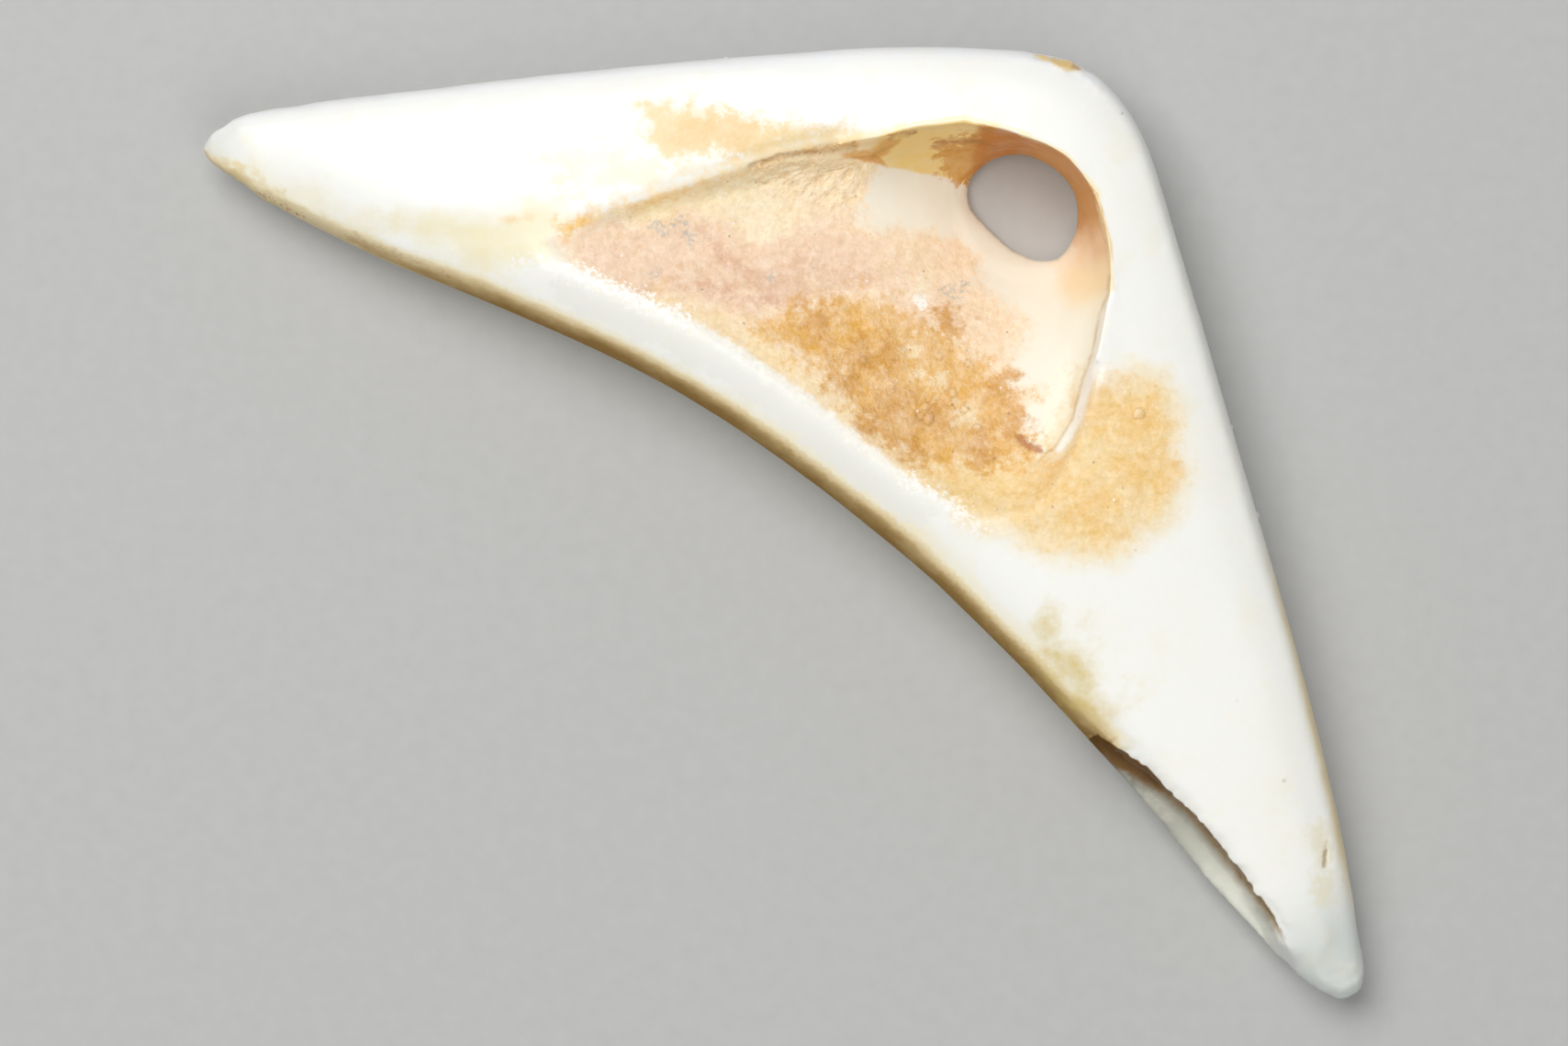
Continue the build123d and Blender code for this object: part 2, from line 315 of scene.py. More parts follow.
# The face runs level up to the sharp part of the lip: its dome is fitted a little way off and
# carried on to the edge. Left of the hollow it sinks into a shallow trough.
FITTED_AT, FITTED_BAND, FITTED_REACH = 1.6, 0.7, 2.4  # where the dome is fitted, from the lip
MOST_RAISED = 0.6
LIP_SHARPNESS, TROUGH_DEPTH = 0.10, 0.14  # how far the hollow drops at its lip, and the trough
to_lip = to_run(LIP, xy)


def dome(xy):
    """The terms of a cubic surface over the plane."""
    x, y = (xy / 10).T
    return np.column_stack([x ** i * y ** j for i in range(4) for j in range(4 - i)])


flat = (facing[:, 2] > 0.8) & (np.abs(hollow_depth + FITTED_AT) < FITTED_BAND)
flat &= to_lip < FITTED_REACH
fit = np.linalg.lstsq(dome(xy[flat]), at[flat, 2], rcond=None)[0]
first_xy = xy.copy()  # the places before any of them moves sideways
sunk = np.clip(dome(xy) @ fit - at[:, 2], 0, MOST_RAISED)
at[:, 2] += up * sunk * ramp(0.08 - hollow_depth, 0, 0.16) * (1 - ramp(to_lip, 0.7, 1.1))
lift -= LIP_SHARPNESS * up * (1 - ramp(to_lip, 0.1, 0.6)) * ramp(hollow_depth, 0.05, 0.15)
trough = up * (1 - ramp(hollow_depth, -0.2, 0.8))
lift -= TROUGH_DEPTH * trough * ramp(depth_in(TROUGH, xy), -1.2, 2.0)

# Wear and breaks: a chipped corner at the shoulder, flaked patches beside the upper tip, a
# dark pit near the lower one, uneven blunt tips, and grains left proud of the outer edge.
CHIP_DEPTH, FLAKE_DEPTH, TIP_LUMPS = 0.12, 0.05, 0.07
PIT_DEPTH, PIT_WIDTH, PIT_LENGTH, PIT_LEAN = 0.07, 0.16, 0.75, 0.06
SNAG_RISE, SNAG_RADIUS, SNAG_LEVEL = 0.16, 0.32, 5.2  # the last is how high up the edge they are
chipped = 1 - ramp(to_run(CHIP, xy), 0.3, 1.1)
chipped = chipped * ramp(at[:, 2], 2.5, 5.0)
add(lift, -CHIP_DEPTH * chipped,
    lambda p: 0.8 + 0.9 * lumps(p, size=0.7, octaves=3, shift=17.0))
flaked = depth_in(FLAKES, xy) + 0.25 * lumps(at, size=0.8, octaves=2, shift=19.0)
flaked = ramp(flaked, -0.15, 0.15) * ramp(facing[:, 2], -0.3, 0.1)
add(lift, -FLAKE_DEPTH * flaked,
    lambda p: 0.5 + 1.4 * lumps(p, size=0.5, octaves=3, shift=21.0))
pit_x, pit_y = PIT[0]
pit = np.hypot((at[:, 0] - pit_x - PIT_LEAN * (at[:, 1] - pit_y)) / PIT_WIDTH,
               (at[:, 1] - pit_y) / PIT_LENGTH)
lift -= up * PIT_DEPTH * (1 - ramp(pit, 0.4, 1.4))
for tip in TIPS:
    blunt = 1 - ramp(to_run([tip], xy), 0.8, 3.0)
    add(lift, TIP_LUMPS * blunt, lambda p: lumps(p, size=0.8, octaves=3, shift=23.0))
for snag in SNAGS:
    gap = np.hypot(to_run([snag], xy), 0.35 * (at[:, 2] - SNAG_LEVEL))
    lift += SNAG_RISE * (1 - ramp(gap, 0.05, SNAG_RADIUS))
at += facing * lift[:, None]


def swell(middle, past, growth):
    """Makes an end fuller round its middle, more and more over 5 mm past a place."""
    share = growth * ramp(past, 0, 5)
    at[:, :2] += share[:, None] * (at[:, :2] - np.array(middle))


# The hole's edge lies a little further up and right than the solid's, and the lip left of it a
# little further down. The upper tip is slimmer below and rounder at its very end.
HOLE = (15.6, 20.4)
HOLE_SHIFT = (0.09, 0.28)
LOW_LIP_X, LIP_DROP = 4.2, 0.35
NOSE_LIFT, NOSE_GROWTH, NOSE_AXIS = 0.33, 0.22, 24.35  # the last is the Y of the tip's middle
hole_share = 1 - ramp(to_run([HOLE], xy), 3.7, 4.7)
at[:, :2] += hole_share[:, None] * np.array(HOLE_SHIFT)

lip_share = 1 - ramp(np.abs(at[:, 0] - LOW_LIP_X), 1.5, 5.0)
lip_share *= 1 - ramp(np.abs(hollow_depth), 0.5, 2.0)
at[:, 1] -= LIP_DROP * lip_share * ramp(at[:, 1], 18, 22)

swell(middle=(-33.5, 23.0), past=-31.5 - at[:, 0], growth=0.12)
swell(middle=(35.2, -26.8), past=-25.6 - at[:, 1], growth=0.10)
nose = at[:, 0] - TIPS[0][0]
slimmer = NOSE_LIFT * (1 - ramp(np.abs(nose - 1.3), 0.5, 2.4))
at[:, 1] += slimmer * (1 - ramp(at[:, 1], 22.6, 24.3))
at[:, 1] += NOSE_GROWTH * (1 - ramp(nose, -0.2, 0.9)) * (at[:, 1] - NOSE_AXIS)

# The broken edge of the front layer, along the natural split in the lower wing: its outline is
# ragged, so those vertices also move in and out across the split.
ALONG = np.array([0.671, -0.742])
ACROSS = np.array([0.742, 0.671])
ROOF, ROOF_FALL = 5.9, 0.13  # height of the gap's roof at its start, and its fall along it
MEET = 0.9  # share of the gap that the back layer closes at its lower end
BITES, NICKS = 0.16, 0.09  # how far the broken edge strays, in long bites and in short nicks
SAMPLE = 0.5  # spacing of the places along the split where the edge's height is read
line = np.array(SPLIT) - SPLIT[0]


def along_split(xy):
    """How far along the split each place is, and how far out from it."""
    offset = xy - SPLIT[0]
    run = offset @ ALONG
    return run, np.interp(run, line @ ALONG, line @ ACROSS) - offset @ ACROSS


run, out = along_split(xy)
steps = np.arange(0.0, 17.5, SAMPLE)
tops = [at[(np.abs(out) < 0.35) & (np.abs(run - step) < SAMPLE), 2].max() for step in steps]
edge_top = np.interp(run, steps, tops) - 0.25 * np.clip(run - steps[-1], 0, None)
# At its lower end the back layer rises to meet the front one.
meet = MEET * ramp(run, 13, 18) * (1 - ramp(run, 18.8, 19.8)) * (1 - ramp(out, 0, 0.9))
meet *= ramp(out, -0.9, -0.5) * ramp(at[:, 2], 1.2, 2.6)
at[:, 2] += meet * np.clip(edge_top - at[:, 2], 0, None)
roof = ROOF - ROOF_FALL * run
ragged = (1 - ramp(to_run(SPLIT, xy), 0.35, 1.1)) * ramp(at[:, 2] - roof, -1.2, -0.2)
ragged *= ramp(run, -0.5, 1.0)
here = np.flatnonzero(ragged > 1e-3)
track = np.column_stack([run[here], np.zeros(len(here)), np.zeros(len(here))])
bite = BITES * lumps(track, size=1.7, octaves=2, shift=27.0)
bite += NICKS * lumps(track, size=0.5, octaves=2, shift=29.0)
at[here, :2] += (ragged[here] * bite)[:, None] * ACROSS
for vert, place in zip(skin.verts, at * MM):
    vert.co = place
# Last rounds of smoothing: the pink crust, the upper tip, and where the split closes.
soften(skin, (crusted > 0.3) & (ochre < 0.3) & (wrinkled < 0.3), 1)
soften(skin, to_run([TIPS[0]], first_xy) < 2.2, 5)
soften(skin, (to_run([SPLIT_END], first_xy) < 1.5) & (at[:, 2] > SPLIT_FOOT), 10)
skin.to_mesh(shell_mesh)
skin.free()
shell_mesh.polygons.foreach_set("use_smooth", np.ones(len(shell_mesh.polygons), bool))
shell_mesh.update()

# Stains and deposits, and some painted light and shade, from what soaked in first to what lies on
# top. shape is "area" for an outline, "within" for its part in the hollow, "line" for a run of
# points as wide as width to each side, "beside" for such a run's side away from the hollow, and
# "spots" for rounds of radius width. edge is how softly a mark ends, ragged how far its grain
# breaks the border, and patchy how much of its strength is lost in thin places.
Mark = namedtuple("Mark", "name shape points width colour edge ragged grain strength patchy",
                   defaults=(0.3,))
CREAM = (0.90, 0.85, 0.71)
PEACH, PINK, HONEY = (0.84, 0.65, 0.44), (0.76, 0.555, 0.42), (0.81, 0.59, 0.29)
OCHRE_BROWN, UMBER, RUST = (0.75, 0.46, 0.17), (0.56, 0.29, 0.10), (0.42, 0.17, 0.07)
AMBER, WALL_YELLOW, WALL_BROWN = (0.84, 0.54, 0.18), (0.90, 0.65, 0.22), (0.57, 0.22, 0.035)
SLATE, CHALK, GREEN_GREY = (0.36, 0.38, 0.37), (0.93, 0.91, 0.87), (0.80, 0.81, 0.71)
CRACK_BROWN, LIP_CREAM = (0.50, 0.27, 0.09), (0.99, 0.86, 0.52)
MARKS = [
    Mark("trough", "area", TROUGH, 0, (0.87, 0.78, 0.50), 1.3, 0.9, "cloudy", 0.85, 0.2),
    Mark("hollow", "within", HOLLOW, 0, CREAM, 0.2, 0.1, "grainy", 0.9, 0.15),
    Mark("upper_stain", "area", [
        (-9.3, 27.3), (-6.6, 27.2), (-3.6, 26.6), (0.4, 25.8), (4.5, 25.6), (4.3, 24.9),
        (1.8, 24.3), (-1.9, 23.6), (-5.1, 23.9), (-7.9, 23.7), (-8.7, 24.8), (-9.2, 26.0),
    ], 0, (0.80, 0.58, 0.24), 0.8, 0.8, "grainy", 1.0, 0.25),
    Mark("upper_stain_core", "area", [
        (-7.6, 25.1), (-5.6, 26.2), (-3.2, 26.3), (-0.8, 25.3), (-2.5, 24.1), (-5.0, 24.3),
        (-7.4, 24.2),
    ], 0, (0.78, 0.52, 0.20), 0.9, 1.3, "grainy", 0.75, 0.4),
    Mark("upper_specks", "area", [
        (-15.5, 24.0), (-12.5, 24.6), (-9.3, 24.2), (-5.0, 23.6), (-2.6, 22.7), (-6.0, 22.1),
        (-9.8, 21.1), (-14.0, 20.9),
    ], 0, (0.88, 0.76, 0.47), 0.9, 2.4, "grainy", 0.55, 0.6),
    Mark("lip_yellow", "line", [(-2.2, 22.9), (1.0, 23.9), (4.4, 24.4), (7.4, 25.0)], 0.7,
          (0.90, 0.74, 0.42), 0.5, 0.3, "grainy", 0.9, 0.2),
    Mark("wall_yellow", "within", [
        (5.4, 24.2), (7.4, 26.0), (14.0, 26.4), (13.4, 24.2), (11.9, 22.35), (10.0, 22.8),
        (8.4, 23.0), (6.7, 23.2),
    ], 0, WALL_YELLOW, 0.14, 0.10, "cloudy", 0.95, 0.2),
    Mark("wall_mottle", "within", [
        (9.8, 24.9), (11.6, 25.2), (13.4, 25.4), (13.4, 23.6), (13.2, 22.5), (11.9, 22.3),
        (10.2, 22.9),
    ], 0, (0.64, 0.30, 0.06), 0.3, 0.8, "grainy", 0.95, 0.4),
    Mark("wall_brown", "within", [
        (12.0, 24.7), (12.8, 25.8), (15.6, 26.6), (19.6, 25.0), (22.0, 21.4), (22.4, 18.0),
        (20.3, 17.0), (19.0, 18.4), (18.8, 20.0), (17.4, 22.0), (15.6, 23.0), (13.3, 22.6),
        (12.3, 22.3), (12.6, 23.6),
    ], 0, WALL_BROWN, 0.5, 0.5, "cloudy", 1.0, 0.15),
    # The wall's own orange round the hole, laid lighter than the brown as painted light against
    # the shade on that wall.
    Mark("crescent", "within", [
        (16.2, 24.6), (18.4, 24.0), (20.6, 21.6), (21.4, 18.2), (20.0, 17.6), (19.6, 20.0),
        (18.4, 22.2),
    ], 0, (0.80, 0.42, 0.13), 0.5, 0.2, "cloudy", 0.6, 0.1),
    Mark("wall_streaks", "line", [(9.9, 24.7), (11.4, 24.9), (12.6, 24.9), (14.0, 24.5)], 0.10,
          (0.36, 0.18, 0.06), 0.16, 0.2, "grainy", 0.7, 0.7),
    Mark("wall_pink", "within", [
        (18.9, 19.2), (21.4, 19.4), (21.6, 17.0), (21.0, 15.2), (18.6, 15.4), (18.3, 17.2),
    ], 0, (0.93, 0.66, 0.42), 1.0, 0.4, "cloudy", 0.9, 0.1),
    Mark("wall_peach", "within", [
        (18.4, 17.0), (21.4, 17.0), (21.2, 15.0), (20.3, 13.6), (18.8, 14.2), (18.2, 15.4),
    ], 0, (0.97, 0.77, 0.48), 0.9, 0.4, "cloudy", 0.85, 0.1),
    # Painted light: a cream paler than the floor's, laid on the steep wall inside the step to lift
    # the shade on it.
    Mark("wall_painted_light", "within", [
        (21.4, 15.0), (21.2, 12.2), (20.4, 9.2), (19.2, 6.4), (17.6, 4.4), (16.4, 5.2),
        (17.2, 7.6), (18.0, 9.8), (18.6, 12.0), (19.4, 14.2),
    ], 0, (0.94, 0.90, 0.76), 0.6, 0.2, "cloudy", 0.7, 0.1),
    # A yellow line along the lip's edge, partly the lip's own yellow and partly painted light on
    # its rounded edge, laid near full brightness.
    Mark("lip_line", "beside", LIP[1:6], (0.24, 0.50), LIP_CREAM, 0.10, 0.10, "grainy", 0.9, 0.3),
    Mark("lip_line_right", "beside", LIP[5:], (0.0, 0.24), LIP_CREAM, 0.10, 0.10, "grainy", 0.8,
          0.4),
    Mark("crust", "area", CRUST, 0, PEACH, 0.8, 0.7, "grainy", 0.95, 0.15),
    Mark("pink_floor", "area", [
        (-14.3, 18.4), (-12.2, 19.4), (-9.8, 20.0), (-6.2, 20.6), (-0.8, 20.0), (2.8, 20.6),
        (5.4, 18.4), (7.4, 16.7), (9.7, 14.3), (8.8, 13.4), (5.8, 14.8), (2.8, 14.6),
        (-0.2, 13.4), (-3.8, 13.4), (-9.2, 14.3), (-12.8, 15.5),
    ], 0, PINK, 1.4, 1.4, "grainy", 0.75, 0.4),
    Mark("pink_light", "area", [
        (5.4, 18.6), (10.6, 18.0), (12.2, 16.4), (12.6, 14.2), (15.2, 12.2), (14.3, 10.3),
        (11.8, 11.5), (8.8, 13.6),
    ], 0, (0.85, 0.67, 0.50), 1.2, 1.0, "grainy", 0.7, 0.4),
    Mark("cream_patch", "area", [
        (-6.4, 21.8), (-2.4, 22.6), (0.4, 21.4), (1.8, 20.0), (0.2, 18.6), (-2.8, 18.7),
        (-5.0, 20.0),
    ], 0, (0.88, 0.76, 0.53), 1.1, 1.2, "grainy", 0.75, 0.4),
    Mark("mauve", "area", [
        (-8.0, 16.8), (-2.0, 17.4), (3.4, 16.8), (4.4, 15.2), (1.0, 14.2), (-4.0, 14.8),
    ], 0, (0.66, 0.44, 0.30), 1.2, 2.2, "grainy", 0.6, 0.5),
    Mark("veins", "line", [(-11.6, 14.9), (-8.3, 15.1), (-4.9, 15.3), (-2.0, 14.6), (1.2, 14.2)],
          0.22, (0.60, 0.34, 0.22), 0.4, 0.8, "grainy", 0.45, 0.5),
    Mark("veins_high", "line", [(-5.4, 19.1), (-3.6, 17.2), (-2.0, 15.9), (-1.0, 14.8)], 0.18,
          (0.62, 0.36, 0.25), 0.4, 0.9, "grainy", 0.4, 0.6),
    Mark("honey_fringe", "area", HONEY_PATCH, 0, (0.88, 0.79, 0.52), 1.8, 0.6, "cloudy", 0.7,
          0.2),
    Mark("honey", "area", HONEY_PATCH, 0, HONEY, 1.5, 0.6, "grainy", 0.95, 0.25),
    Mark("honey_core", "spots", [(20.3, 8.0), (22.6, 6.8), (23.2, 3.6), (20.0, 1.2), (17.0, 2.8)],
          1.7, (0.79, 0.51, 0.19), 1.4, 1.3, "grainy", 0.7, 0.4),
    Mark("honey_strip", "line", [(-8.0, 14.1), (-2.2, 11.7), (2.0, 8.9), (5.4, 6.1), (9.0, 3.6)],
          1.0, (0.88, 0.70, 0.42), 0.8, 1.1, "grainy", 0.75, 0.35),
    Mark("ochre", "area", OCHRE, 0, OCHRE_BROWN, 0.9, 1.4, "grainy", 0.95, 0.3),
    Mark("umber", "spots", [
        (6.5, 10.9), (5.0, 10.9), (7.1, 7.9), (5.8, 6.3), (9.6, 6.8), (14.3, 8.6), (15.0, 6.3),
        (10.5, 13.0), (2.2, 12.9), (4.0, 9.2), (12.9, 5.0), (8.2, 5.2),
    ], 1.0, UMBER, 1.0, 1.3, "grainy", 0.7, 0.45),
    Mark("notch", "line", [(15.3, 5.5), (15.9, 5.1), (16.7, 4.7)], 0.26, RUST, 0.16, 0.2,
          "grainy", 0.85, 0.2),
    # Painted light: the warm beige under the upper lip, laid paler than its own colour to lift the
    # shade on the wall's slope there.
    Mark("lip_painted_light", "line", [(-9.0, 20.3), (-4.0, 22.0), (1.0, 23.4), (5.0, 23.7)], 0.9,
          (0.99, 0.80, 0.50), 0.8, 0.5, "grainy", 0.85, 0.2),
    Mark("amber_lip", "line", [
        (-14.7, 19.0), (-12.2, 19.8), (-9.2, 20.7), (-5.6, 21.9), (-3.2, 22.5), (-1.4, 23.1),
        (1.0, 24.1), (4.5, 24.5),
    ], 0.22, AMBER, 0.3, 0.45, "grainy", 0.75, 0.5),
    Mark("amber_corner", "line", [(-14.9, 19.3), (-14.2, 18.9), (-13.4, 19.3)], 0.25, AMBER, 0.35,
          0.6, "grainy", 0.8),
    # The wrinkled patch's own tan, laid paler as painted light against the shade on its slope.
    Mark("wrinkle_tan_and_light", "area", WRINKLES, 0, (0.93, 0.74, 0.50), 0.6, 1.0, "grainy", 0.85),
    # Brown in the small crevice by the upper lip, partly its own stain and partly painted shadow
    # in the crevice.
    Mark("crevice", "area", CREVICE, 0, (0.72, 0.38, 0.085), 0.15, 0.15, "grainy", 0.95, 0.3),
    Mark("lip_streaks", "line", [(6.9, 25.05), (7.6, 25.25), (8.5, 25.4)], 0.10, CRACK_BROWN,
          0.12, 0.2, "grainy", 0.85, 0.3),
    Mark("lip_crack", "line", LIP_CRACK, 0.09, CRACK_BROWN, 0.14, 0.25, "fine", 0.85, 0.7),
    Mark("islands", "spots", [
        (8.5, 10.9), (9.8, 9.1), (12.0, 7.1), (8.9, 10.0), (-1.6, 18.8), (-0.6, 18.9),
        (-11.6, 19.9), (-10.8, 20.1), (-4.4, 21.9), (-3.2, 22.1), (-2.2, 22.2), (9.0, 15.5),
    ], 0.55, (0.89, 0.78, 0.57), 0.5, 0.9, "grainy", 0.8, 0.4),
    # Painted highlight: a white line along the lit, rounded lip beside the step.
    Mark("step_highlight", "line", [(x + 0.30, y - 0.10) for x, y in STEP[1:-1]], 0.26,
          (0.99, 0.99, 0.97), 0.22, 0.15, "grainy", 0.85, 0.2),
    Mark("step_line", "line", STEP, 0.07, (0.60, 0.44, 0.22), 0.09, 0.06, "grainy", 0.75, 0.7),
    Mark("slate_specks", "spots", [
        (-8.5, 19.4), (-7.9, 19.0), (-7.1, 19.4), (-6.6, 19.6), (-6.3, 18.8), (-6.1, 18.4),
        (-8.5, 16.3), (-0.9, 16.0), (11.2, 15.2), (10.7, 15.1), (11.7, 15.5), (11.2, 14.7),
    ], 0.22, SLATE, 0.25, 0.5, "fine", 0.65, 0.4),
    Mark("band", "beside", HOLLOW[14:21], (0.0, 2.6), (0.87, 0.86, 0.80), 0.25, 0.5, "grainy",
          0.9, 0.1),
    Mark("white_rim", "line", [(-17.3, 16.7), (-14.0, 16.2), (-10.4, 15.0), (-6.5, 13.2)],
          0.30, CHALK, 0.25, 0.9, "fine", 0.85),
    Mark("white_rim_low", "line", [(7.9, 2.7), (9.8, 1.6), (11.5, 0.5), (12.4, -0.4)],
          0.26, CHALK, 0.25, 0.9, "fine", 0.75),
    Mark("white_crystal", "spots", [(8.9, 14.7), (9.1, 14.4)], 0.30, CHALK, 0.2, 0.4, "fine",
          0.8),
    Mark("smear", "line", [(-18.4, 19.6), (-16.4, 19.9)], 0.14, AMBER, 0.3, 0.2, "grainy", 0.6),
    Mark("hairlines", "line", [(-24.2, 18.7), (-22.4, 18.2), (-20.7, 17.5)], 0.03,
          (0.62, 0.50, 0.30), 0.07, 0.05, "fine", 0.45, 0.6),
    Mark("yellow_wash", "area", [
        (16.9, -6.2), (18.7, -7.3), (20.8, -10.0), (21.1, -12.1), (19.2, -11.8), (17.6, -9.1),
    ], 0, (0.72, 0.57, 0.21), 1.6, 1.6, "cloudy", 1.0, 0.3),
    Mark("chip", "area", [
        (15.9, 31.4), (18.6, 31.4), (20.2, 30.4), (19.7, 29.5), (19.1, 29.35), (18.4, 29.3),
        (17.6, 29.75), (16.3, 30.3),
    ], 0, (0.86, 0.58, 0.165), 0.22, 0.16, "grainy", 1.0, 0.2),
    Mark("chip_shade", "spots", [(18.9, 29.6)], 0.24, (0.50, 0.31, 0.14), 0.2, 0.2, "grainy",
          0.75),
    Mark("flakes", "area", FLAKES, 0, (0.78, 0.62, 0.31), 0.5, 0.9, "grainy", 0.9, 0.5),
    Mark("flake_wash", "area", [
        (-37.2, 24.0), (-33.0, 23.2), (-28.0, 20.6), (-25.0, 18.6), (-30.0, 19.6), (-34.5, 21.6),
    ], 0, (0.86, 0.79, 0.56), 1.2, 1.6, "cloudy", 0.55, 0.4),
    Mark("rust_streaks", "line", [(-34.4, 21.3), (-32.8, 20.4), (-31.6, 19.8)], 0.20,
          (0.40, 0.18, 0.09), 0.2, 0.3, "fine", 0.8, 0.4),
    Mark("edge_scars", "line", [(-28.4, 18.6), (-26.6, 17.8), (-24.4, 16.9), (-21.8, 15.9)], 0.12,
          (0.45, 0.28, 0.12), 0.3, 0.8, "grainy", 0.7, 0.7),
    Mark("pit_trail", "line", [(35.35, -20.7), (35.3, -21.6)], 0.10, (0.60, 0.42, 0.26), 0.12,
          0.05, "fine", 0.7, 0.2),
    Mark("pit", "line", [(35.28, -21.4), (35.2, -22.35)], 0.14, (0.30, 0.12, 0.07), 0.10, 0.05,
          "fine", 1.0, 0.0),
    Mark("pit_smear", "line", [(34.9, -20.2), (35.5, -22.9), (35.2, -24.4)], 0.5,
          (0.80, 0.74, 0.52), 0.8, 0.9, "grainy", 0.7),
    Mark("dots", "spots", [(21.9, 26.6), (29.6, -11.5), (32.5, -16.7)], 0.14, (0.34, 0.31, 0.24),
          0.12, 0.15, "fine", 0.8),
]
WITHIN_MARGIN, WITHIN_STEEP = 0.22, 4  # a stain in the hollow ends this far past it, this sharply
MOST_PAINTED = 8  # depth past which a stain is the same


def spread(mark, xy):
    """How far each place is inside a mark, in millimetres."""
    if mark.shape == "area":
        return depth_in(mark.points, xy)
    if mark.shape == "within":
        margin = WITHIN_STEEP * (hollow_depth + WITHIN_MARGIN)
        return np.minimum(depth_in(mark.points, xy), margin)
    if mark.shape == "line":
        return mark.width - to_run(mark.points, xy)
    if mark.shape == "beside":
        gap, reach = mark.width
        return np.minimum(-hollow_depth - gap, reach - to_run(mark.points, first_xy))
    return mark.width - np.min([to_run([point], xy) for point in mark.points], axis=0)


def paint(name, values):
    """Keeps one value for each vertex of the shell, for its finish to read."""
    layer = shell_mesh.attributes.new(name, "FLOAT", "POINT")
    held = np.clip(values, -MOST_PAINTED, MOST_PAINTED)
    layer.data.foreach_set("value", held.astype(np.float32))


size = len(shell_mesh.vertices)
at = np.zeros(size * 3)
facing = np.zeros(size * 3)
shell_mesh.vertices.foreach_get("co", at)
shell_mesh.vertices.foreach_get("normal", facing)
at, facing = at.reshape(-1, 3) / MM, facing.reshape(-1, 3)
xy = at[:, :2]
# The marks lose depth on the back, below the waist of the flanks, which lies lower towards the
# tips, and on the upper wing where its flank turns upright.
LOST_BEHIND, LOST_BELOW, LOST_UPRIGHT = 8, 1.6, 3
WAIST, WAIST_LEFT, WAIST_LOW = 4.6, 2.2, 2.0  # its height, and its fall towards each tip
behind = LOST_BEHIND * (1 - ramp(facing[:, 2], -0.75, -0.45))
waist = WAIST - WAIST_LEFT * (1 - ramp(xy[:, 0], -36, -26))
waist -= WAIST_LOW * (1 - ramp(xy[:, 1], -30, -20))
behind += LOST_BELOW * np.clip(waist - at[:, 2], 0, None) * ramp(-hollow_depth, 0, 1)
upright = (1 - ramp(facing[:, 2], 0.0, 0.3)) * ramp(-hollow_depth, 0.5, 1.5)
behind += LOST_UPRIGHT * upright * ramp(xy[:, 1], 10, 14)
for mark in MARKS:
    paint(mark.name, spread(mark, xy) - behind)
paint("crumble", crumble / BIG_KNOBS)
paint("furrow", furrow)
paint("rough_ground", np.maximum(crusted * (0.35 + 0.65 * ochre), wrinkled))

# The gap under the front layer is brown with painted shadow at its upper end and a thin dark line
# further down, and the back layer beyond it is a broad greenish white.
run, out = along_split(xy)
below = np.interp(run, steps, tops) - 0.10 - at[:, 2]
ends = np.minimum(run + 0.3, 0.08 * (17.6 - run))
paint("under", np.min([out + 0.3, below, at[:, 2] - 0.9, ends], axis=0))
paint("gap", 0.10 + 1.1 * (1 - ramp(run, 1.5, 6.8)) - out)
# Painted shadow in the gap, darkest at its upper end.
paint("gap_shadow", 0.55 * (1 - ramp(run, 3.5, 6.5)) - out)
paint("down", run / 2)

# Handling has left a tan and brown patina on the flanks, with painted shade laid into it where
# they turn away from the light, darkest down the inner edge. The flanks that face up are painted
# light, a clearer white, and the two tips are painted shade, a darker and cooler grey.
TO_INNER, TO_OUTER = np.array([-0.6, -0.8]), np.array([0.97, 0.24])  # the way each flank faces
inner = np.clip(facing[:, :2] @ TO_INNER, 0, 1)
outer = np.clip(facing[:, :2] @ TO_OUTER, 0, 1) * ramp(22 - xy[:, 1], 0, 34)
outside = ramp(-depth_in(HOLLOW, xy), 0.6, 2.0) * ramp(to_run([TIPS[1]], xy), 3.0, 9.0)
start = 0.36 - 0.14 * (1 - ramp(np.abs(at[:, 0] - 10), 6, 20))
outside *= 1 - (1 - ramp(np.abs(out), 0.4, 1.4)) * ramp(run, 0.5, 2.5)
most = 0.66 + 0.34 * ramp(xy[:, 0], -34, -16)
outside *= 0.35 + 0.65 * ramp(at[:, 2], 0.6 * waist - 1.5, 1.1 * waist)
rubbed_and_shaded = np.maximum(most * ramp(inner, start, 1.0), 0.5 * ramp(outer, 0.6, 1.0))
paint("patina_and_painted_shade", outside * rubbed_and_shaded)
# Painted light: the flanks that face up are painted a clearer white, as light from above shows
# them.
paint("top_painted_light", ramp(facing[:, 1], 0.2, 0.9))
# Painted shade: the two tips, which turn away from the light, are painted a darker, cooler grey.
paint("tip", np.maximum(1 - ramp(to_run([TIPS[1]], xy), 2.0, 9.0),
                        0.5 - 0.5 * ramp(to_run([TIPS[0]], xy), 0.5, 3.5)))


def lay(tree, kind, sockets=(), **settings):
    """Adds a node, sets it, and gives its sockets a value or a link."""
    made = tree.nodes.new(kind)
    for name, value in settings.items():
        setattr(made, name, value)
    for key, value in dict(sockets).items():
        if isinstance(value, bpy.types.NodeSocket):
            tree.links.new(value, made.inputs[key])
        else:
            made.inputs[key].default_value = value
    return made


